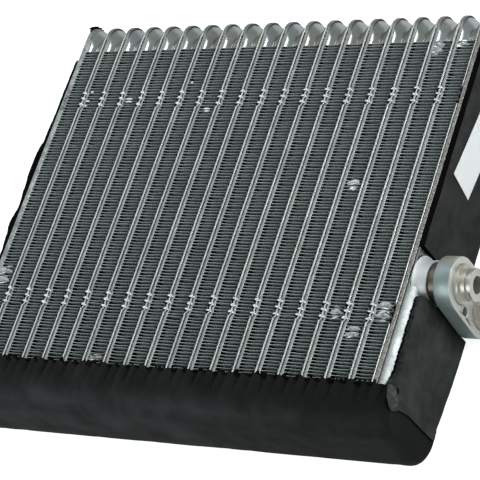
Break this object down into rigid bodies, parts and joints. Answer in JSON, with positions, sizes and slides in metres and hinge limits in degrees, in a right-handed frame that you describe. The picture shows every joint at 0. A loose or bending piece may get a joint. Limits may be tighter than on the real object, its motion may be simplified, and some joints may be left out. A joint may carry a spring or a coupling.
{
  "type": "evaporator core",
  "caption": "brazed plate-fin evaporator core with barrel-shaped headers, a side fitting with two stepped spigots on an oblong flange, and foam sheets round the lower header and the sides",
  "frame": {"origin": "under the middle of the whole part as it lies on its back: middle of the bounding box in X and Y, lowest level in Z", "axes": "+X runs across the tubes towards the fitting, +Y runs along the tubes from the foam boot to the bare header, +Z points out of the front face"},
  "size_m": [0.2614, 0.2178, 0.0486],
  "materials": {
    "tube_aluminium": "brazed and coated, satin",
    "fin_aluminium": "thin coated sheet, satin",
    "plate_aluminium": "stamped, satin",
    "fitting_aluminium": "machined",
    "foam": "soft cellular rubber sheet, matt",
    "label": "blank adhesive paper"
  },
  "bodies": {
    "root": {"left_end_plate": "plate_aluminium", "tube_01": "tube_aluminium", "tube_02": "tube_aluminium", "tube_03": "tube_aluminium", "tube_04": "tube_aluminium", "tube_05": "tube_aluminium", "tube_06": "tube_aluminium", "tube_07": "tube_aluminium", "tube_08": "tube_aluminium", "tube_09": "tube_aluminium", "tube_10": "tube_aluminium", "tube_11": "tube_aluminium", "tube_12": "tube_aluminium", "tube_13": "tube_aluminium", "tube_14": "tube_aluminium", "tube_15": "tube_aluminium", "tube_16": "tube_aluminium", "tube_17": "tube_aluminium", "tube_18": "tube_aluminium", "tube_19": "tube_aluminium", "fin_01": "fin_aluminium", "fin_02": "fin_aluminium", "fin_03": "fin_aluminium", "fin_04": "fin_aluminium", "fin_05": "fin_aluminium", "fin_06": "fin_aluminium", "fin_07": "fin_aluminium", "fin_08": "fin_aluminium", "fin_09": "fin_aluminium", "fin_10": "fin_aluminium", "fin_11": "fin_aluminium", "fin_12": "fin_aluminium", "fin_13": "fin_aluminium", "fin_14": "fin_aluminium", "fin_15": "fin_aluminium", "fin_16": "fin_aluminium", "fin_17": "fin_aluminium", "fin_18": "fin_aluminium", "fin_19": "fin_aluminium", "passage_plate": "plate_aluminium", "liquid_port_tube": "fitting_aluminium", "suction_port_tube": "fitting_aluminium", "fitting_flange": "fitting_aluminium", "upper_right_foam": "foam", "lower_right_foam": "foam", "left_foam": "foam", "bottom_foam": "foam", "side_label": "label"}
  },
  "joints": []
}
